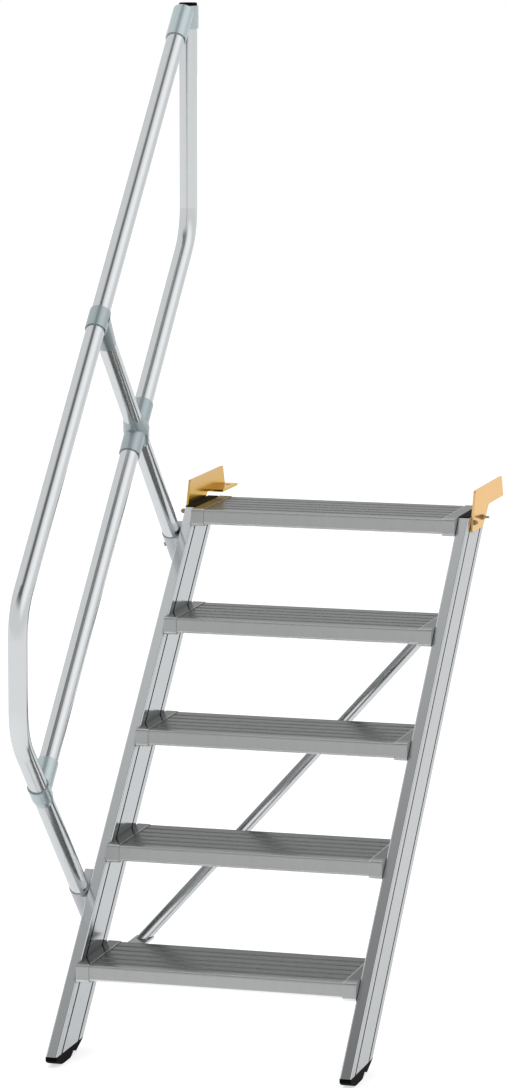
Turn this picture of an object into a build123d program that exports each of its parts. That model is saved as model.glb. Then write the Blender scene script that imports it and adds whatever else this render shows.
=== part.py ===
import math
import os
from build123d import *

# driving sizes, millimetres
clear_width = 598.0
rise = 209.0
going = 209.0
tread_count = 5
first_rise = 187.0

tread_depth = 222.0
tread_height = 33.0
tread_overhang = 34.5
tread_wall = 2.5
tread_radius = 6.0
tread_cells = 3
groove_count = 5
groove_width = 8.0
groove_depth = 1.8

cap_width = 28.0
cap_over_top = 1.5
cap_over_bottom = 4.0
cap_over_ends = 1.5
cap_end = 3.0

stringer_width = 24.0
stringer_depth = 125.0
stringer_lip = 21.0
stringer_wall = 2.5
line_width = 6.0
line_depth = 3.0
stringer_radius = 2.5

foot_height = 23.0
foot_front = 9.0
foot_flat_at = 50.0
foot_flat = 34.0
foot_toe_end = 109.0
foot_notch = 13.0
foot_notch_end = 117.0
foot_tail_at = 128.0
foot_tail = 17.5
plug_height = 3.0

tube_d = 40.0
tube_wall = 2.0
rail_gap = 1.0
top_rail_height = 727.0
knee_rail_height = 357.0
lower_post_at = 182.0
upper_post_at = 1121.0
lower_run_ahead = 223.0
upper_run_behind = 133.0
rail_bend_radius = 130.0
rail_end_drop = 24.0
rail_end_wall = 4.0
tube_seat = 0.4

sleeve_wall = 3.0
branch_inset = 0.8
rail_flare = 25.0
knee_flare = 29.0
rail_sleeve_down = 29.0
rail_sleeve_up = 20.0
rail_branch = 81.0
knee_sleeve_half = 70.0
knee_branch = 42.0
lower_sleeve_up = 20.0
lower_sleeve_down = 18.0
lower_taper = 16.0
lower_branch = 72.0
top_sleeve_length = 50.0
top_sleeve_run = 133.0
top_sleeve_stop = 50.0
end_plug_height = 5.0

socket_depth = 94.0
socket_floor = 6.0
lower_socket_above = 49.0
upper_socket_above = 28.0
socket_below = 21.0
lower_socket_rim = 0.0
upper_socket_rim = -8.0
socket_sunk = 8.0
socket_wall = 2.0

plate_t = 5.0
arm_height = 46.0
arm_start = 42.0
arm_end = 314.0
arm_rake = 16.0
arm_radius = 6.0
leg_drop = 33.0
leg_set_back = 10.0
leg_width = 104.0
leg_rake = 32.0
leg_rise = 22.0
leg_top_rake = 24.0
tab_rise = 9.0
tab_width = 30.0
tab_length = 120.0
tab_hole_d = 11.0
tab_hole_in = 30.0
tab_bend = 4.0

brace_d = 25.0
brace_wall = 2.0
brace_clear = 2.5
brace_treads = 3
brace_low_in = 62.0
brace_high_in = 31.0
tongue_t = 5.0
tongue_width = 38.0
tongue_inset = 1.0
tongue_tail = 17.5

# pitch line and the working points that hang on it
pitch = math.atan2(rise, going)
c = math.cos(pitch)
s = math.sin(pitch)
half = clear_width / 2
half_wall = stringer_width / 2
outer_x = half + stringer_width
level_len = stringer_depth / s
top_z = (tread_count - 1) * rise
bottom_z = foot_height - first_rise
tr = tube_d / 2
sr = tr + sleeve_wall
seat_r = sr - branch_inset
rail_x = -(outer_x + rail_gap + tr)


def front_y(z):
    return tread_overhang + z * going / rise


# origin: middle of the underside of the left bracket's tab
ox = -outer_x + tab_width / 2
oy = front_y(top_z) + arm_end - tab_length / 2
oz = top_z + tab_rise


def at(y, z):
    return (y - oy, z - oz)


def pt(along, out):
    return at(tread_overhang + along * c - out * s, along * s + out * c)


def p3(x, y, z):
    return (x - ox, y - oy, z - oz)


def yz_plane(x):
    return Plane.YZ.offset(x - ox)


def pitch_plane(x, along, out):
    return Plane(origin=(x - ox, *pt(along, out)), x_dir=(0, c, s), z_dir=(1, 0, 0))


def level_plane(z):
    return Plane.XY.offset(z - oz)


def keep(builder, name):
    builder.part.label = name
    export_step(builder.part, f"parts/{name}.step")


os.makedirs("parts", exist_ok=True)
sides = (("left", -1), ("right", 1))

# stringers: three-chamber extrusions with two grooves along each face, cut level at both ends
stringer_mid = (top_z + bottom_z) / 2
stringer_half = (top_z - bottom_z) / 2 / s + stringer_depth
chamber_width = stringer_width - 2 * stringer_wall
line_at = stringer_depth / 2 - stringer_lip - line_width / 2
rib = line_width + 2 * stringer_wall
web_chamber = 2 * line_at - rib
lip_chamber = stringer_depth / 2 - stringer_wall - line_at - rib / 2
lip_at = line_at + rib / 2 + lip_chamber / 2

for side, sign in sides:
    middle = p3(sign * (half + half_wall), front_y(stringer_mid) + level_len / 2, stringer_mid)
    with BuildPart() as stringer:
        with BuildSketch(Plane(origin=middle, x_dir=(1, 0, 0), z_dir=(0, c, s))) as profile:
            Rectangle(stringer_width, stringer_depth)
            fillet(profile.vertices(), stringer_radius)
            with GridLocations(stringer_width, 2 * line_at, 2, 2):
                Rectangle(2 * line_depth, line_width, mode=Mode.SUBTRACT)
            Rectangle(chamber_width, web_chamber, mode=Mode.SUBTRACT)
            with Locations((0, lip_at), (0, -lip_at)):
                Rectangle(chamber_width, lip_chamber, mode=Mode.SUBTRACT)
        extrude(amount=stringer_half, both=True)
        split(bisect_by=level_plane(top_z), keep=Keep.BOTTOM)
        split(bisect_by=level_plane(bottom_z), keep=Keep.TOP)
    keep(stringer, f"{side}_stringer")

# feet: moulded pads under the level bottom cuts, with a rounded toe, a notch and a tail
foot_y0 = front_y(bottom_z)
foot_y1 = foot_y0 + level_len
sole_z = bottom_z - foot_height
flat_y0 = foot_y0 + foot_flat_at
flat_y1 = flat_y0 + foot_flat
toe_front = at(foot_y0, bottom_z - foot_front)
toe_back = at(foot_y0 + foot_toe_end, bottom_z - foot_notch)

for side, sign in sides:
    with BuildPart() as foot:
        with BuildSketch(yz_plane(sign * (half + half_wall))):
            with BuildLine():
                Polyline(toe_front, at(foot_y0, bottom_z), at(foot_y1, bottom_z),
                         at(foot_y0 + foot_tail_at, bottom_z - foot_tail),
                         at(foot_y0 + foot_notch_end, bottom_z - foot_notch), toe_back)
                TangentArc(at(flat_y1, sole_z), toe_back, tangent=(1, 0))
                Line(at(flat_y1, sole_z), at(flat_y0, sole_z))
                TangentArc(at(flat_y0, sole_z), toe_front, tangent=(-1, 0))
            make_face()
        extrude(amount=half_wall, both=True)
    keep(foot, f"{side}_foot")

# plugs closing the hollow top ends
for side, sign in sides:
    plug_middle = p3(sign * (half + half_wall), front_y(top_z) + level_len / 2, top_z)
    with BuildPart() as plug:
        with BuildSketch(Plane(origin=plug_middle)):
            Rectangle(stringer_width, level_len)
        extrude(amount=plug_height)
        chamfer(plug.faces().sort_by(Axis.Z)[-1].edges(), plug_height / 3)
    keep(plug, f"{side}_top_plug")

# treads: ribbed hollow planks, each with a moulded cap over either end
cell_width = (tread_depth - (tread_cells + 1) * tread_wall) / tread_cells
cell_height = tread_height - 2 * tread_wall - groove_depth
groove_pitch = tread_depth / (groove_count + 1)

for n in range(tread_count):
    y = n * going
    z = n * rise
    mid_y = y + tread_depth / 2
    mid_z = z - tread_height / 2
    with BuildPart() as tread:
        with BuildSketch(yz_plane(0)) as profile:
            with Locations(at(mid_y, mid_z)):
                Rectangle(tread_depth, tread_height)
            fillet(profile.vertices().group_by(Axis.X)[0], tread_radius)
            with Locations(at(mid_y, mid_z - groove_depth / 2)):
                with GridLocations(cell_width + tread_wall, 1, tread_cells, 1):
                    Rectangle(cell_width, cell_height, mode=Mode.SUBTRACT)
            with Locations(at(mid_y, z)):
                with GridLocations(groove_pitch, 1, groove_count, 1):
                    Rectangle(groove_width, 2 * groove_depth, mode=Mode.SUBTRACT)
        extrude(amount=half - cap_end, both=True)
    keep(tread, f"tread_{n + 1}")
    for side, sign in sides:
        cap_height = tread_height + cap_over_top + cap_over_bottom
        with BuildPart() as cap:
            with BuildSketch(yz_plane(sign * half)) as profile:
                with Locations(at(mid_y, mid_z + (cap_over_top - cap_over_bottom) / 2)):
                    Rectangle(tread_depth + 2 * cap_over_ends, cap_height)
                fillet(profile.vertices().group_by(Axis.X)[0], tread_radius + cap_over_ends)
            extrude(amount=-sign * cap_width)
            with BuildSketch(yz_plane(sign * (half - cap_end))) as cavity:
                with Locations(at(mid_y, mid_z)):
                    Rectangle(tread_depth, tread_height)
                fillet(cavity.vertices().group_by(Axis.X)[0], tread_radius)
            extrude(amount=-sign * cap_width, mode=Mode.SUBTRACT)
        keep(cap, f"tread_{n + 1}_{side}_cap")

# handrail: round tubes bent in one upright plane outside the left stringer
lower_run_y = -lower_run_ahead
upper_run_y = (tread_count - 1) * going + upper_run_behind
lower_bend_out = (tread_overhang + lower_post_at * c - lower_run_y) / s
rail_bend_at = (lower_run_y - tread_overhang + top_rail_height * s) / c
knee_bend_at = (upper_run_y - tread_overhang + knee_rail_height * s) / c
meet_at = (upper_run_y - tread_overhang + top_rail_height * s) / c
rail_top_z = meet_at * s + top_rail_height * c - rail_end_drop
tube_stop = tr + tube_seat
rail_stop = (rail_end_drop + rail_end_wall + tr * c) / s


def tube(points, radius, bore=0):
    with BuildPart() as made:
        with BuildLine(yz_plane(rail_x)) as path:
            if len(points) > 2:
                FilletPolyline(*points, radius=rail_bend_radius)
            else:
                Line(*points)
        with BuildSketch(Plane(origin=path.line @ 0, z_dir=path.line % 0)):
            Circle(radius)
            if bore > 0:
                Circle(bore, mode=Mode.SUBTRACT)
        sweep()
    return made.part


def rail_rod(start, end, height, radius):
    return tube([pt(start, height), pt(end, height)], radius)


def post_rod(place, start, end, radius):
    return tube([pt(place, start), pt(place, end)], radius)


def upright_rod(start, end, radius):
    return tube([at(upper_run_y, start), at(upper_run_y, end)], radius)


with BuildPart() as top_rail:
    add(tube([pt(lower_post_at, knee_rail_height + tube_seat), pt(lower_post_at, lower_bend_out),
              pt(rail_bend_at, top_rail_height), pt(meet_at - rail_stop, top_rail_height)],
             tr, tr - tube_wall))
keep(top_rail, "top_rail")

with BuildPart() as knee_rail:
    add(tube([pt(lower_post_at + tube_stop, knee_rail_height), pt(knee_bend_at, knee_rail_height),
              at(upper_run_y, rail_top_z)], tr, tr - tube_wall))
keep(knee_rail, "knee_rail")

with BuildPart() as lower_post:
    add(tube([pt(lower_post_at, -socket_depth),
              pt(lower_post_at, knee_rail_height - lower_sleeve_down - lower_taper)], tr, tr - tube_wall))
keep(lower_post, "lower_post")

with BuildPart() as upper_post:
    add(tube([pt(upper_post_at, -socket_depth),
              pt(upper_post_at, knee_rail_height - knee_branch)], tr, tr - tube_wall))
keep(upper_post, "upper_post")

with BuildPart() as upper_post_extension:
    add(tube([pt(upper_post_at, knee_rail_height + knee_branch),
              pt(upper_post_at, top_rail_height - rail_branch)], tr, tr - tube_wall))
keep(upper_post_extension, "upper_post_extension")

with BuildPart() as rail_end_plug:
    with BuildSketch(Plane(origin=p3(rail_x, upper_run_y, rail_top_z))):
        Circle(tr)
    extrude(amount=end_plug_height)
keep(rail_end_plug, "rail_end_plug")

# connectors: cast sleeves with flared branches that the post tubes butt against, flush


def post_branch(place, height, sign, length, base):
    foot = Plane(origin=(rail_x - ox, *pt(place, height)), z_dir=(0, -sign * s, sign * c))
    with BuildPart() as made:
        with Locations(foot):
            Cone(base, tr, length, align=(Align.CENTER, Align.CENTER, Align.MIN))
    return made.part


with BuildPart() as rail_connector:
    add(rail_rod(upper_post_at - rail_sleeve_down, upper_post_at + rail_sleeve_up, top_rail_height, sr))
    add(post_branch(upper_post_at, top_rail_height, -1, rail_branch, rail_flare))
    add(rail_rod(lower_post_at, 2 * upper_post_at, top_rail_height, tr), mode=Mode.SUBTRACT)
keep(rail_connector, "rail_connector")

with BuildPart() as knee_connector:
    add(rail_rod(upper_post_at - knee_sleeve_half, upper_post_at + knee_sleeve_half, knee_rail_height, sr))
    add(post_branch(upper_post_at, knee_rail_height, 1, knee_branch, knee_flare))
    add(post_branch(upper_post_at, knee_rail_height, -1, knee_branch, knee_flare))
    add(rail_rod(lower_post_at, 2 * upper_post_at, knee_rail_height, tr), mode=Mode.SUBTRACT)
keep(knee_connector, "knee_connector")

sleeve_low = knee_rail_height - lower_sleeve_down

with BuildPart() as lower_connector:
    add(post_rod(lower_post_at, sleeve_low, knee_rail_height + lower_sleeve_up, sr))
    add(rail_rod(lower_post_at, lower_post_at + lower_branch, knee_rail_height, seat_r))
    add(post_branch(lower_post_at, sleeve_low, -1, lower_taper, sr))
    add(post_rod(lower_post_at, knee_rail_height, 2 * knee_rail_height, tr), mode=Mode.SUBTRACT)
    add(rail_rod(lower_post_at + tube_stop, upper_post_at, knee_rail_height, tr), mode=Mode.SUBTRACT)
keep(lower_connector, "lower_connector")

with BuildPart() as top_connector:
    add(rail_rod(meet_at - top_sleeve_run, meet_at, top_rail_height, tr))
    add(upright_rod(rail_top_z - top_sleeve_length, rail_top_z, sr))
    split(bisect_by=level_plane(rail_top_z), keep=Keep.BOTTOM)
    add(rail_rod(meet_at - top_sleeve_run, meet_at - top_sleeve_stop, top_rail_height, sr))
    add(upright_rod(rail_top_z - 2 * top_sleeve_run, rail_top_z + top_sleeve_run, tr), mode=Mode.SUBTRACT)
    add(rail_rod(meet_at - 2 * top_sleeve_run, meet_at - rail_stop, top_rail_height, tr),
        mode=Mode.SUBTRACT)
keep(top_connector, "top_connector")

# post sockets: bored blocks seated on the left stringer's outer face
socket_out = socket_depth + socket_floor
sockets = (("lower_post_socket", lower_post_at, lower_socket_above, lower_socket_rim),
           ("upper_post_socket", upper_post_at, upper_socket_above, upper_socket_rim))

for name, place, above, rim in sockets:
    with BuildPart() as socket:
        with BuildSketch(pitch_plane(-outer_x, place, 0)):
            with Locations(((above - socket_below) / 2, -(socket_out + socket_sunk) / 2)):
                Rectangle(above + socket_below, socket_out - socket_sunk)
        extrude(amount=-(rail_gap + tr))
        add(post_rod(place, -socket_out, rim, tr + socket_wall))
        split(bisect_by=yz_plane(-outer_x), keep=Keep.BOTTOM)
        add(post_rod(place, -socket_depth, socket_depth, tr), mode=Mode.SUBTRACT)
    keep(socket, name)

# fixing brackets: flat plates on the outer faces with a bored tab turned inwards
edge_y = front_y(top_z)
leg_y = edge_y + leg_set_back
arm_y = edge_y + arm_end
tab_z = top_z + tab_rise
arm_z = tab_z + arm_height
leg_z = top_z - leg_drop
heel_y = leg_y + leg_width
bend_y = heel_y + leg_rake
tab_y = arm_y - tab_length / 2

for side, sign in sides:
    tab_x = sign * (outer_x + (plate_t - tab_width) / 2)
    with BuildPart() as bracket:
        with BuildSketch(yz_plane(sign * outer_x)) as outline:
            with BuildLine():
                Polyline(at(leg_y, leg_z), at(edge_y + arm_start, arm_z), at(arm_y - arm_rake, arm_z),
                         at(arm_y, tab_z), at(bend_y + leg_top_rake, tab_z),
                         at(bend_y, leg_z + leg_rise), at(heel_y, leg_z), close=True)
            make_face()
            fillet(outline.vertices().filter_by(lambda v: abs(v.Y) > plate_t), arm_radius)
        extrude(amount=sign * plate_t)
        with BuildSketch(Plane(origin=p3(tab_x, tab_y, tab_z))):
            Rectangle(tab_width + plate_t, tab_length)
        extrude(amount=plate_t)
        lowest = bracket.edges().filter_by(Axis.Y).filter_by_position(Axis.Z, 0, 0)
        fillet(lowest.sort_by(Axis.X)[-1 if sign > 0 else 0], tab_bend)
        with Locations(p3(sign * (outer_x - tab_width / 2), arm_y - tab_hole_in, tab_z)):
            Cylinder(tab_hole_d / 2, 4 * plate_t, mode=Mode.SUBTRACT)
    keep(bracket, f"{side}_fixing_bracket")

# diagonal brace: a round tube behind the treads with bent tongues on the backs of two of them
brace_off = tread_depth + tread_height + cap_over_ends + cap_over_bottom + (brace_d / 2 + brace_clear) / s
brace_rise = brace_treads * rise
tongue_drop = tongue_inset + tongue_t / 2
tongues = ((0, -tongue_drop), (brace_treads, tongue_drop - tread_height))


def brace_point(z):
    x = brace_low_in - half + (clear_width - brace_low_in - brace_high_in) * z / brace_rise
    return Vector(*p3(x, brace_off + z * going / rise, z))


with BuildPart() as diagonal_brace:
    with BuildSketch(Plane(origin=brace_point(-rise), z_dir=brace_point(rise) - brace_point(0))):
        Circle(brace_d / 2)
        Circle(brace_d / 2 - brace_wall, mode=Mode.SUBTRACT)
    extrude(amount=(brace_point(brace_rise + rise) - brace_point(-rise)).length)
    split(bisect_by=level_plane(tongues[0][1]), keep=Keep.TOP)
    split(bisect_by=level_plane(brace_rise + tongues[1][1]), keep=Keep.BOTTOM)
    for step, drop in tongues:
        level = step * rise + drop
        rear_y = step * going + tread_depth
        reach = brace_off + level * going / rise + tongue_tail - rear_y
        with BuildSketch(Plane.YZ.offset(brace_point(level).X)):
            with Locations(at(rear_y + reach / 2, level)):
                Rectangle(reach, tongue_t)
            with Locations(at(rear_y + tongue_t / 2, step * rise - tread_height / 2)):
                Rectangle(tongue_t, tread_height - 2 * tongue_inset)
        extrude(amount=tongue_width / 2, both=True)
keep(diagonal_brace, "diagonal_brace")
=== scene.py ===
import bpy
import bmesh
import math
from mathutils import Matrix, Vector


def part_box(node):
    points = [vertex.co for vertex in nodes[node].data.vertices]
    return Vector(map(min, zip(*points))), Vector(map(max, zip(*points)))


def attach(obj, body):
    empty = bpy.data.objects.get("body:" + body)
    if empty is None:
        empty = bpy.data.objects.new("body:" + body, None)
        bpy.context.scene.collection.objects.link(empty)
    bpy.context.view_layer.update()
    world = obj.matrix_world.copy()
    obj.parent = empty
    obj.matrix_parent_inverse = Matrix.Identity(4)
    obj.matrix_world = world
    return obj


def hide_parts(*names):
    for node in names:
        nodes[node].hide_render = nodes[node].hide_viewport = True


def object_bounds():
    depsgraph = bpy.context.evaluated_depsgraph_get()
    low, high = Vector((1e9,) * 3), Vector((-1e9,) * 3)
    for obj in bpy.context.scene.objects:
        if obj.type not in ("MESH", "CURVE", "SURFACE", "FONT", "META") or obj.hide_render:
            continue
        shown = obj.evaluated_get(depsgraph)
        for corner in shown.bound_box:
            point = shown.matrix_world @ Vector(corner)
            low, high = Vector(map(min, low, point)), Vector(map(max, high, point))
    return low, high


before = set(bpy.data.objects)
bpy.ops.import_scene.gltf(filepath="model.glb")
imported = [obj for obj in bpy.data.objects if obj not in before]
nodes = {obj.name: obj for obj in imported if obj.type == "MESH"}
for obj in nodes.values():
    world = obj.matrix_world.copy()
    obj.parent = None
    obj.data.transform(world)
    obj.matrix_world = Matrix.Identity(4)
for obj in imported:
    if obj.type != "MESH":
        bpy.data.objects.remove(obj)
cadLow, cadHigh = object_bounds()
scene = bpy.context.scene
scene.view_settings.view_transform = "Standard"
print("frame loaded:", len(nodes), "nodes")

# the treads set the middle, the slope and the front line of the stair
treadLow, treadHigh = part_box("tread_1")
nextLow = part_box("tread_2")[0]
middleX = (treadLow[0] + treadHigh[0]) / 2
treadGoing, treadRise = nextLow[1] - treadLow[1], nextLow[2] - treadLow[2]
treadSlope = treadGoing / treadRise
treadFront = treadLow[1] - treadHigh[2] * treadSlope
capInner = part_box("tread_1_right_cap")[0][0] - middleX


def rgba(colour):
    return (*colour, 1.0)


def newGroup(name, inputs, outputs):
    tree = bpy.data.node_groups.new(name, "ShaderNodeTree")
    for label, kind, value in inputs:
        socket = tree.interface.new_socket(label, in_out="INPUT", socket_type="NodeSocket" + kind)
        socket.default_value = value
    for label, kind in outputs:
        tree.interface.new_socket(label, in_out="OUTPUT", socket_type="NodeSocket" + kind)
    return tree, tree.nodes.new("NodeGroupInput").outputs, tree.nodes.new("NodeGroupOutput").inputs


def addNode(tree, kind, **values):
    node = tree.nodes.new("ShaderNode" + kind)
    for key, value in values.items():
        setattr(node, key, value)
    return node


def feed(tree, socket, value):
    if isinstance(value, bpy.types.NodeSocket):
        tree.links.new(value, socket)
    else:
        socket.default_value = value


def calc(tree, operation, *values):
    node = addNode(tree, "Math", operation=operation)
    for socket, value in zip(node.inputs, values):
        feed(tree, socket, value)
    return node.outputs[0]


def ramp(tree, value, low, high, start=0.0, end=1.0):
    node = addNode(tree, "MapRange", interpolation_type="SMOOTHSTEP")
    for socket, item in zip(node.inputs, (value, low, high, start, end)):
        feed(tree, socket, item)
    return node.outputs[0]


def mix(tree, factor, a, b, mode="MIX"):
    node = addNode(tree, "Mix", data_type="RGBA", blend_type=mode)
    for socket, item in zip((node.inputs[0], node.inputs[6], node.inputs[7]), (factor, a, b)):
        feed(tree, socket, item)
    return node.outputs[2]


def dot(tree, vector, direction):
    node = addNode(tree, "VectorMath", operation="DOT_PRODUCT")
    tree.links.new(vector, node.inputs[0])
    node.inputs[1].default_value = direction
    return node.outputs["Value"]


# where a point lies in the frame, measured along one direction
def along(tree, direction):
    return dot(tree, addNode(tree, "TexCoord").outputs["Object"], direction)


grainNoise = {"detail": 3.0, "height": 0.0004}


# marks of the extrusion or casting: a shade round 1 and a bumped normal
def grainGroup():
    tree, gin, gout = newGroup("surfaceGrain", [
        ("Density", "Vector", (40.0, 40.0, 40.0)), ("Depth", "Float", 0.05), ("Shade", "Float", 0.04)],
        [("Tone", "Float"), ("Normal", "Vector")])
    scale = addNode(tree, "VectorMath", operation="MULTIPLY")
    tree.links.new(addNode(tree, "TexCoord").outputs["Object"], scale.inputs[0])
    tree.links.new(gin["Density"], scale.inputs[1])
    noise = addNode(tree, "TexNoise")
    noise.inputs["Scale"].default_value = 1.0
    noise.inputs["Detail"].default_value = grainNoise["detail"]
    tree.links.new(scale.outputs[0], noise.inputs["Vector"])
    bump = addNode(tree, "Bump")
    bump.inputs["Distance"].default_value = grainNoise["height"]
    tree.links.new(noise.outputs["Fac"], bump.inputs["Height"])
    tree.links.new(gin["Depth"], bump.inputs["Strength"])
    swing = calc(tree, "MULTIPLY", calc(tree, "SUBTRACT", noise.outputs["Fac"], 0.5), 2.0)  # -1 to 1
    tree.links.new(calc(tree, "MULTIPLY_ADD", swing, gin["Shade"], 1.0), gout["Tone"])
    tree.links.new(bump.outputs["Normal"], gout["Normal"])
    return tree


# 1 on level faces that look up, 0 on uprights and undersides
def topGroup():
    tree, gin, gout = newGroup("upwardMask", [("Start", "Float", 0.4), ("End", "Float", 0.8)],
                               [("Mask", "Float")])
    height = dot(tree, addNode(tree, "TexCoord").outputs["Normal"], (0.0, 0.0, 1.0))
    tree.links.new(ramp(tree, height, gin["Start"], gin["End"]), gout["Mask"])
    return tree


creviceSamples = 8


# 1 deep in a corner or groove, 0 on open faces; it places the painted shade of the finishes
def creviceGroup():
    tree, gin, gout = newGroup("creviceMask", [("Reach", "Float", 0.004), ("Strength", "Float", 1.0)],
                               [("Mask", "Float")])
    shade = addNode(tree, "AmbientOcclusion", samples=creviceSamples)
    tree.links.new(gin["Reach"], shade.inputs["Distance"])
    closed = calc(tree, "SUBTRACT", 1.0, shade.outputs["AO"])
    tree.links.new(calc(tree, "MULTIPLY", closed, gin["Strength"]), gout["Mask"])
    return tree


# 1 within a band across the stair, measured from its middle
def bandGroup():
    tree, gin, gout = newGroup("sideBand", [
        ("Middle", "Float", 0.0), ("Near", "Float", 0.1), ("Far", "Float", 0.2)], [("Mask", "Float")])
    aside = calc(tree, "ABSOLUTE", calc(tree, "SUBTRACT", along(tree, (1.0, 0.0, 0.0)), gin["Middle"]))
    past = calc(tree, "GREATER_THAN", aside, gin["Near"])
    short = calc(tree, "LESS_THAN", aside, gin["Far"])
    tree.links.new(calc(tree, "MULTIPLY", past, short), gout["Mask"])
    return tree


# 0 below one height of the frame, 1 above another
def heightGroup():
    tree, gin, gout = newGroup("heightMask", [("Low", "Float", 0.0), ("High", "Float", 0.1)],
                               [("Mask", "Float")])
    tree.links.new(ramp(tree, along(tree, (0.0, 0.0, 1.0)), gin["Low"], gin["High"]), gout["Mask"])
    return tree


# how far a point lies behind its tread's front edge, and a mask that fades from 1 at that edge
def frontGroup():
    tree, gin, gout = newGroup("frontFade", [("Front", "Float", 0.0), ("Reach", "Float", 0.02)],
                               [("Mask", "Float"), ("Distance", "Float")])
    distance = calc(tree, "SUBTRACT", along(tree, (0.0, 1.0, -treadSlope)), gin["Front"])
    share = calc(tree, "DIVIDE", distance, gin["Reach"])
    tree.links.new(ramp(tree, share, 0.0, 1.0, 1.0, 0.0), gout["Mask"])
    tree.links.new(distance, gout["Distance"])
    return tree


groups = {"grain": grainGroup(), "top": topGroup(), "crevice": creviceGroup(), "band": bandGroup(),
          "height": heightGroup(), "front": frontGroup()}


def useGroup(tree, name, **values):
    node = tree.nodes.new("ShaderNodeGroup")
    node.node_tree = groups[name]
    for key, value in values.items():
        node.inputs[key].default_value = value
    return node.outputs


# a new material with what is the same all over its surface
def startFinish(name, look):
    material = bpy.data.materials.new(name)
    material.use_nodes = True
    tree = material.node_tree
    shader = tree.nodes["Principled BSDF"]
    shader.inputs["Metallic"].default_value = look["metallic"]
    shader.inputs["Roughness"].default_value = look["roughness"]
    if "edgeTint" in look:
        shader.inputs["Specular Tint"].default_value = rgba(look["edgeTint"])
    if "specular" in look:
        shader.inputs["Specular IOR Level"].default_value = look["specular"]
    return material, tree, shader


# grain over a colour, the corner colour painted into grooves and corners from an occlusion mask as painted
# shade (on the treads, where it is pale, as a painted highlight), then the shader
def endFinish(tree, shader, look, colour):
    grain = useGroup(tree, "grain", Density=look["density"], Depth=look["depth"], Shade=look["shade"])
    crevice = useGroup(tree, "crevice", Reach=look["reach"], Strength=look["paintedCreviceStrength"])
    toned = mix(tree, 1.0, colour, grain["Tone"], "MULTIPLY")
    tree.links.new(mix(tree, crevice["Mask"], toned, rgba(look["corner"])), shader.inputs["Base Color"])
    tree.links.new(grain["Normal"], shader.inputs["Normal"])


# one colour under the grain
def plainFinish(name, look, colour):
    material, tree, shader = startFinish(name, look)
    endFinish(tree, shader, look, rgba(colour))
    return material


# one aluminium for both stringers: the left and right side colours are its painted lit and shaded copies, and
# the front face colour is a painted highlight
stringerLook = {
    "leftColour": (0.380, 0.398, 0.412), "rightColour": (0.318, 0.333, 0.345),
    "flangeHighlightColour": (0.590, 0.608, 0.618), "flangeTurn": (0.40, 0.65),
    "metallic": 1.0, "roughness": 0.13, "density": (300.0, 20.0, 20.0), "depth": 0.02, "shade": 0.02,
    "reach": 0.009, "paintedCreviceStrength": 1.0, "corner": (0.03, 0.035, 0.04)}


# painted highlight: paler on the sloping front face than on the sides
def stringerFinish(name, webColour):
    material, tree, shader = startFinish(name, stringerLook)
    start, end = stringerLook["flangeTurn"]
    flange = useGroup(tree, "top", Start=start, End=end)["Mask"]
    colour = mix(tree, flange, rgba(webColour), rgba(stringerLook["flangeHighlightColour"]))
    endFinish(tree, shader, stringerLook, colour)
    return material


# the tread's top colour is painted shade, its nose and under colours painted highlights, and its pale corner
# colour a painted highlight in the grooves
treadLook = {
    "colour": (0.395, 0.402, 0.400), "noseHighlightColour": (0.43, 0.44, 0.435), "noseFade": 0.034,
    "underHighlightColour": (0.92, 0.93, 0.93), "underTurn": (-0.05, -0.40), "topShadeColour": (0.185, 0.190, 0.187),
    "edgeTint": (0.54, 0.55, 0.545), "metallic": 1.0, "roughness": 0.18, "grooveRoughness": 0.32,
    "sideRoughness": 0.55, "grooves": 5, "density": (90.0, 6.0, 6.0), "depth": 0.04, "shade": 0.04,
    "reach": 0.008, "paintedCreviceStrength": 0.8, "corner": (0.50, 0.51, 0.50)}
groovePitch = (treadHigh[1] - treadLow[1]) / (treadLook["grooves"] + 1)


# painted shade makes the top a dark satin; painted highlight makes the nose, front and rounded lower edge
# paler
def plankColours(tree, shader, look, top, fade, topRoughness):
    start, end = look["underTurn"]
    under = useGroup(tree, "top", Start=start, End=end)["Mask"]
    side = mix(tree, under, rgba(look["colour"]), rgba(look["underHighlightColour"]))
    rounding = calc(tree, "PINGPONG", calc(tree, "MULTIPLY", top, 2.0), 1.0)  # 1 halfway round the nose
    nose = calc(tree, "MAXIMUM", rounding, calc(tree, "MULTIPLY", top, fade))
    roughness = ramp(tree, top, 0.0, 1.0, look["sideRoughness"], topRoughness)
    tree.links.new(roughness, shader.inputs["Roughness"])
    return mix(tree, nose, mix(tree, top, side, rgba(look["topShadeColour"])), rgba(look["noseHighlightColour"]))


# the lands between the grooves are polished by use
def treadFinish():
    material, tree, shader = startFinish("treadAluminium", treadLook)
    top = useGroup(tree, "top")["Mask"]
    front = useGroup(tree, "front", Front=treadFront, Reach=treadLook["noseFade"])
    wave = calc(tree, "COSINE", calc(tree, "MULTIPLY", front["Distance"], math.tau / groovePitch))
    satin = ramp(tree, wave, -1.0, 1.0, treadLook["roughness"], treadLook["grooveRoughness"])
    endFinish(tree, shader, treadLook, plankColours(tree, shader, treadLook, top, front["Mask"], satin))
    return material


# the cap's top colour is painted shade, its nose and under colours painted highlights
capLook = {
    "colour": (0.395, 0.402, 0.400), "noseHighlightColour": (0.43, 0.44, 0.435), "noseFade": 0.034,
    "underHighlightColour": (0.92, 0.93, 0.93), "underTurn": (-0.05, -0.40), "topShadeColour": (0.16, 0.164, 0.162),
    "edgeHighlightColour": (0.56, 0.56, 0.54), "line": 0.0022, "edgeTint": (0.55, 0.555, 0.55), "metallic": 1.0,
    "roughness": 0.16, "sideRoughness": 0.55, "density": (300.0, 300.0, 300.0), "depth": 0.03, "shade": 0.03,
    "reach": 0.003, "paintedCreviceStrength": 0.2, "corner": (0.04, 0.04, 0.04)}


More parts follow.
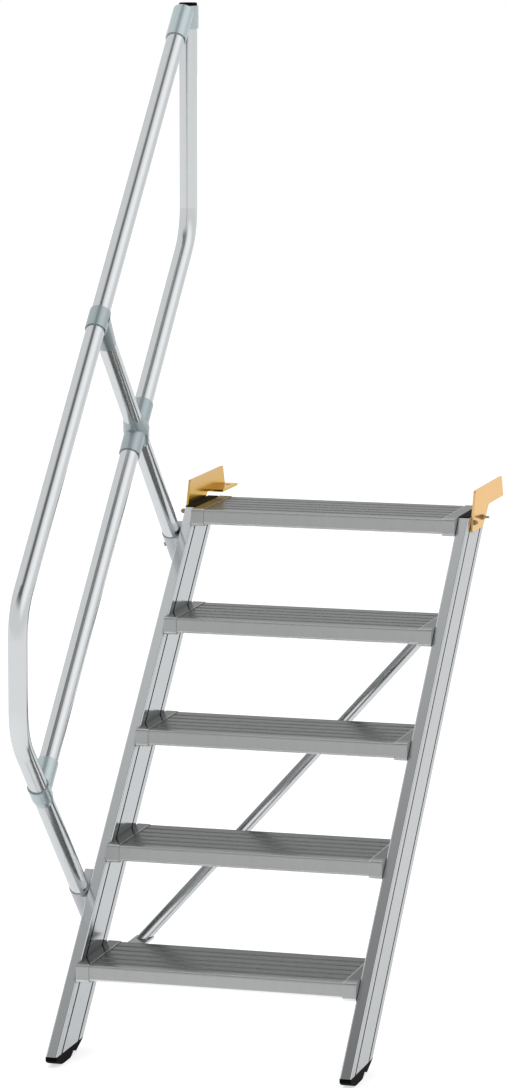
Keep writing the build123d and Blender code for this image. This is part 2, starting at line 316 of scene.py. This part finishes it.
# a painted highlight makes a bright line on top along the cap's inner edge
def capFinish():
    material, tree, shader = startFinish("capGloss", capLook)
    top = useGroup(tree, "top")["Mask"]
    front = useGroup(tree, "front", Front=treadFront, Reach=capLook["noseFade"])
    colour = plankColours(tree, shader, capLook, top, front["Mask"], capLook["roughness"])
    band = useGroup(tree, "band", Middle=middleX, Near=0.0, Far=capInner + capLook["line"])["Mask"]
    line = calc(tree, "MULTIPLY", band, top)
    endFinish(tree, shader, capLook, mix(tree, line, colour, rgba(capLook["edgeHighlightColour"])))
    return material


railLook = {
    "colour": (0.57, 0.585, 0.595), "edgeTint": (0.86, 0.88, 0.89), "metallic": 1.0, "roughness": 0.18,
    "density": (60.0, 60.0, 60.0), "depth": 0.02, "shade": 0.02, "reach": 0.004, "paintedCreviceStrength": 0.4,
    "corner": (0.15, 0.16, 0.17)}

braceLook = {
    "colour": (0.54, 0.555, 0.565), "topShadeColour": (0.23, 0.235, 0.235), "edgeTint": (0.75, 0.76, 0.76),
    "metallic": 1.0, "roughness": 0.20, "density": (60.0, 60.0, 60.0), "depth": 0.03, "shade": 0.04,
    "reach": 0.006, "paintedCreviceStrength": 0.5, "corner": (0.06, 0.065, 0.07)}


# painted shade: darker on the level tongues than on the tube
def braceFinish():
    material, tree, shader = startFinish("braceAluminium", braceLook)
    top = useGroup(tree, "top")["Mask"]
    colour = mix(tree, top, rgba(braceLook["colour"]), rgba(braceLook["topShadeColour"]))
    endFinish(tree, shader, braceLook, colour)
    return material


# the pale colour is a painted lit copy of the blue-grey casting, for the top and lower connectors
castingLook = {
    "colour": (0.335, 0.388, 0.403), "litCastingColour": (0.43, 0.50, 0.515), "metallic": 0.75, "roughness": 0.28,
    "density": (400.0, 400.0, 400.0), "depth": 0.06, "shade": 0.05, "reach": 0.006, "paintedCreviceStrength": 0.7,
    "corner": (0.09, 0.11, 0.12)}

socketLook = {
    "colour": (0.47, 0.485, 0.51), "metallic": 0.6, "roughness": 0.36, "density": (400.0, 400.0, 400.0),
    "depth": 0.08, "shade": 0.05, "reach": 0.006, "paintedCreviceStrength": 0.6, "corner": (0.13, 0.14, 0.15)}

blackLook = {
    "colour": (0.005, 0.005, 0.0055), "specular": 0.01, "metallic": 0.0, "roughness": 0.55,
    "density": (500.0, 500.0, 500.0), "depth": 0.10, "shade": 0.10, "reach": 0.004, "paintedCreviceStrength": 0.3,
    "corner": (0.005, 0.005, 0.005)}

# the left bracket's colour is a painted shaded copy of the right bracket's yellow zinc
zincLook = {
    "leftColour": (0.545, 0.362, 0.185), "rightColour": (0.72, 0.455, 0.205), "footColour": (0.54, 0.34, 0.03),
    "fade": (-0.006, 0.052), "edgeTint": (0.97, 0.84, 0.65), "metallic": 1.0, "roughness": 0.20,
    "density": (60.0, 60.0, 60.0), "depth": 0.03, "shade": 0.06, "reach": 0.004, "paintedCreviceStrength": 0.3,
    "corner": (0.25, 0.13, 0.04)}


# another colour towards the bracket's foot, fading into the main colour over a given
# height; the plating may have another tone at the bracket's foot
def zincFinish(name, colour, footColour):
    material, tree, shader = startFinish(name, zincLook)
    low, high = zincLook["fade"]
    above = useGroup(tree, "height", Low=low, High=high)["Mask"]
    endFinish(tree, shader, zincLook, mix(tree, above, rgba(footColour), rgba(colour)))
    return material


boltLook = {
    "colour": (0.36, 0.30, 0.17), "metallic": 1.0, "roughness": 0.35, "density": (200.0, 200.0, 200.0),
    "depth": 0.05, "shade": 0.08, "reach": 0.003, "paintedCreviceStrength": 0.6, "corner": (0.08, 0.06, 0.03)}

finishes = {
    "leftStringer": stringerFinish("leftAluminium", stringerLook["leftColour"]),
    "rightStringer": stringerFinish("rightAluminium", stringerLook["rightColour"]),
    "tread": treadFinish(),
    "cap": capFinish(),
    "rail": plainFinish("railAluminium", railLook, railLook["colour"]),
    "brace": braceFinish(),
    "casting": plainFinish("blueGreyCasting", castingLook, castingLook["colour"]),
    "litCasting": plainFinish("litCasting", castingLook, castingLook["litCastingColour"]),
    "socket": plainFinish("greyCasting", socketLook, socketLook["colour"]),
    "black": plainFinish("blackPlastic", blackLook, blackLook["colour"]),
    "leftZinc": zincFinish("shadedYellowZinc", zincLook["leftColour"], zincLook["footColour"]),
    "rightZinc": zincFinish("yellowZinc", zincLook["rightColour"], zincLook["rightColour"]),
    "bolt": plainFinish("oliveZinc", boltLook, boltLook["colour"])}

# the first word found in a node's name gives its finish
finishWords = [
    ("left_stringer", "leftStringer"), ("right_stringer", "rightStringer"), ("brace", "brace"),
    ("foot", "black"), ("plug", "black"), ("cap", "cap"), ("tread", "tread"),
    ("left_fixing_bracket", "leftZinc"), ("right_fixing_bracket", "rightZinc"),
    ("top_connector", "litCasting"), ("lower_connector", "litCasting"), ("connector", "casting"),
    ("socket", "socket"), ("rail", "rail"), ("post", "rail")]
for name, obj in nodes.items():
    word = next(finish for part, finish in finishWords if part in name)
    obj.data.materials.clear()
    obj.data.materials.append(finishes[word])
print("finishes on", len(nodes), "nodes")


# rings of a hexagon or circle along +X, joined into one closed skin
def turnedSkin(bm, rings, sides):
    loops = []
    turns = [math.tau * i / sides for i in range(sides)]
    for place, radius in rings:
        loops.append([bm.verts.new((place, radius * math.cos(t), radius * math.sin(t))) for t in turns])
    for near, far in zip(loops, loops[1:]):
        for i in range(sides):
            bm.faces.new((near[i], near[(i + 1) % sides], far[(i + 1) % sides], far[i]))
    bm.faces.new(loops[0][::-1])
    bm.faces.new(loops[-1])


# several skins of (rings, sides) in one mesh
def turnedMesh(name, skins):
    bm = bmesh.new()
    for rings, sides in skins:
        turnedSkin(bm, rings, sides)
    mesh = bpy.data.meshes.new(name)
    bmesh.ops.recalc_face_normals(bm, faces=bm.faces)
    bm.to_mesh(mesh)
    bm.free()
    return mesh


def addPiece(name, mesh, finish, matrix):
    mesh.transform(matrix)
    mesh.materials.append(finishes[finish])
    obj = bpy.data.objects.new(name, mesh)
    scene.collection.objects.link(obj)
    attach(obj, "root")
    return obj


# bolts through the brackets' legs; a place is the side, the distance back from the leg's front corner,
# the height over its foot, and the lengths of nut and free end
bracketBolt = {
    "washer": {"radius": 0.0065, "thick": 0.0012, "edgeAt": 0.7, "edge": 0.96, "sides": 32},
    "nut": {"radius": 0.0058, "chamfer": 0.0008, "foot": 0.92, "crown": 0.88, "sides": 6},
    "end": {"radius": 0.0030, "pitch": 0.0014, "root": 0.88, "tip": 0.8, "sides": 24},
    "places": (("left", 0.016, 0.020, 0.0100, 0.0028), ("left", 0.092, 0.022, 0.0050, 0.0098),
               ("right", 0.016, 0.020, 0.0050, 0.0028), ("right", 0.092, 0.022, 0.0050, 0.0098))}


# a washer, a hexagon nut with chamfered ends and a threaded bolt end, standing along +X
def nutSkins(size, nutLength, endLength):
    w, n, e = size["washer"], size["nut"], size["end"]
    seat = w["thick"]
    top = seat + nutLength
    washer = [(0.0, w["radius"]), (seat * w["edgeAt"], w["radius"]), (seat, w["radius"] * w["edge"])]
    nut = [(seat, n["radius"] * n["foot"]), (seat + n["chamfer"], n["radius"]),
           (top - n["chamfer"], n["radius"]), (top, n["radius"] * n["crown"])]
    turns = round(endLength / e["pitch"])
    thread = []
    for i in range(turns):
        thread += [(top + i * e["pitch"], e["radius"] * e["root"]),
                   (top + (i + 0.5) * e["pitch"], e["radius"])]
    thread.append((top + turns * e["pitch"], e["radius"] * e["tip"]))
    return [(washer, w["sides"]), (nut, n["sides"]), (thread, e["sides"])]


for number, (side, back, up, nutLength, endLength) in enumerate(bracketBolt["places"], 1):
    low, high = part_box(side + "_fixing_bracket")
    outward = 1.0 if side == "right" else -1.0
    faceX = high[0] if side == "right" else low[0]
    mirror = Matrix.Diagonal((outward, 1.0, 1.0, 1.0))
    spot = Matrix.Translation((faceX, low[1] + back, low[2] + up)) @ mirror
    name = f"bracketBolt{number}"
    mesh = turnedMesh(name, nutSkins(bracketBolt, nutLength, endLength))
    addPiece(name, mesh, "bolt", spot)
print("bracket bolts added")

# set screw that clamps the upper post in its socket: up from the post's foot and round the barrel
setScrew = {"fromFoot": 0.049, "round": 205.0, "sunk": 0.001, "head": 0.0050, "thick": 0.0046,
            "chamfer": 0.0008, "crown": 0.85, "sides": 6}
climb = Vector((0.0, treadGoing, treadRise)).normalized()
lean = Vector((0.0, -climb.z, climb.y))
low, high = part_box("upper_post")
radius = (high[0] - low[0]) / 2
foot = Vector((low[0] + radius, high[1] - radius * climb.y, low[2] + radius * climb.z))
barrel = foot.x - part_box("upper_post_socket")[0][0]
swing = math.radians(setScrew["round"])
outward = Vector((math.cos(swing), 0.0, 0.0)) + climb * math.sin(swing)
place = foot + lean * setScrew["fromFoot"] + outward * (barrel - setScrew["sunk"])
head = [(0.0, setScrew["head"]), (setScrew["thick"] - setScrew["chamfer"], setScrew["head"]),
        (setScrew["thick"], setScrew["head"] * setScrew["crown"])]
spot = Matrix.Translation(place) @ outward.to_track_quat("X", "Z").to_matrix().to_4x4()
mesh = turnedMesh("upperSetScrew", [(head, setScrew["sides"])])
addPiece("upperSetScrew", mesh, "socket", spot)
print("set screw added")

# the plug in the rail's top end, with a raised rounded rim: rings of (height, share of the radius)
endPlug = {"rings": ((0.0, 1.0), (0.0045, 1.0), (0.0060, 0.97), (0.0068, 0.90), (0.0068, 0.62),
                     (0.0062, 0.55)), "sides": 48}
low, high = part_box("rail_end_plug")
radius = (high[0] - low[0]) / 2
spot = Matrix.Translation((low[0] + radius, low[1] + radius, low[2])) @ Matrix.Rotation(-math.pi / 2, 4, "Y")
plugRings = [(height, radius * share) for height, share in endPlug["rings"]]
mesh = turnedMesh("railEndPlug", [(plugRings, endPlug["sides"])])
plug = addPiece("railEndPlug", mesh, "black", spot)
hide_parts("rail_end_plug")
print("end plug added")

# camera, set from the first tread's front top edge
cameraLook = {"focalPx": 4613.93, "imageHeight": 1088.0, "sensor": 36.0, "azimuth": 15.93, "elevation": 8.51,
              "fromNose": (2.604, -8.838, 2.270)}
nose = Vector((middleX, treadLow[1], treadHigh[2]))
turn, lift = math.radians(cameraLook["azimuth"]), math.radians(cameraLook["elevation"])
sight = Vector((-math.sin(turn) * math.cos(lift), math.cos(turn) * math.cos(lift), -math.sin(lift)))
cameraData = bpy.data.cameras.new("photoCamera")
cameraData.sensor_fit = "VERTICAL"
cameraData.sensor_height = cameraLook["sensor"]
cameraData.lens = cameraLook["focalPx"] * cameraLook["sensor"] / cameraLook["imageHeight"]
camera = bpy.data.objects.new("photoCamera", cameraData)
camera.location = nose + Vector(cameraLook["fromNose"])
camera.rotation_euler = sight.to_track_quat("-Z", "Y").to_euler()
scene.collection.objects.link(camera)
scene.camera = camera

# white studio with a soft dark gap overhead and a mild softbox high on the right
studio = {
    "white": 1.0, "gap": 0.14, "leftEdge": (-0.58, 0.81, 0.0), "leftFade": (-0.11, 0.10),
    "rightFade": (0.10, 0.36), "skyFade": (0.55, 0.90),
    "softbox": 0.42, "softboxTurn": (0.30, 0.65), "softboxLift": (0.22, 0.62)}


def makeWorld():
    world = bpy.data.worlds.new("studio")
    world.use_nodes = True
    tree = world.node_tree
    way = addNode(tree, "TexCoord").outputs["Generated"]
    across = dot(tree, way, (1.0, 0.0, 0.0))
    upward = dot(tree, way, (0.0, 0.0, 1.0))
    left = ramp(tree, dot(tree, way, studio["leftEdge"]), *studio["leftFade"])
    right = ramp(tree, across, *studio["rightFade"])
    low = ramp(tree, upward, *studio["skyFade"], 1.0, 0.0)
    lit = calc(tree, "MAXIMUM", calc(tree, "MAXIMUM", left, right), low)
    bright = calc(tree, "MULTIPLY_ADD", lit, studio["white"] - studio["gap"], studio["gap"])
    turned = ramp(tree, across, *studio["softboxTurn"])
    lifted = ramp(tree, upward, *studio["softboxLift"])
    softbox = calc(tree, "MULTIPLY", calc(tree, "MULTIPLY", turned, lifted), studio["softbox"])
    tree.links.new(calc(tree, "ADD", bright, softbox), tree.nodes["Background"].inputs["Color"])
    return world


scene.world = makeWorld()

# pale floor: white where no shadow falls
floorLook = {"reach": 40.0, "colour": (0.55, 0.55, 0.55), "glow": 0.62}


def makeFloor():
    r, z = floorLook["reach"], cadLow[2]
    mesh = bpy.data.meshes.new("floor")
    mesh.from_pydata([(-r, -r, z), (r, -r, z), (r, r, z), (-r, r, z)], [], [(0, 1, 2, 3)])
    floor = bpy.data.objects.new("floor", mesh)
    scene.collection.objects.link(floor)
    material = bpy.data.materials.new("paleFloor")
    material.use_nodes = True
    tree = material.node_tree
    shader = tree.nodes["Principled BSDF"]
    shader.inputs["Base Color"].default_value = rgba(floorLook["colour"])
    shader.inputs["Roughness"].default_value = 1.0
    shader.inputs["Specular IOR Level"].default_value = 0.0
    shader.inputs["Emission Color"].default_value = rgba((1.0, 1.0, 1.0))
    rays = addNode(tree, "LightPath").outputs
    mirrored = calc(tree, "MAXIMUM", rays["Is Glossy Ray"], rays["Is Transmission Ray"])
    seen = calc(tree, "MAXIMUM", rays["Is Camera Ray"], mirrored)
    tree.links.new(calc(tree, "MULTIPLY", seen, floorLook["glow"]), shader.inputs["Emission Strength"])
    mesh.materials.append(material)
    return floor


makeFloor()

softLamp = {"place": (-1.2, -1.8, 3.6), "aim": (0.3, -0.6, -0.4), "size": 3.0, "watts": 45.0}
lampData = bpy.data.lights.new("softLamp", "AREA")
lampData.shape = "DISK"
lampData.size = softLamp["size"]
lampData.energy = softLamp["watts"]
lamp = bpy.data.objects.new("softLamp", lampData)
lamp.location = softLamp["place"]
lamp.rotation_euler = (Vector(softLamp["aim"]) - Vector(softLamp["place"])).to_track_quat("-Z", "Y").to_euler()
lamp.visible_glossy = False
scene.collection.objects.link(lamp)
print("studio ready")
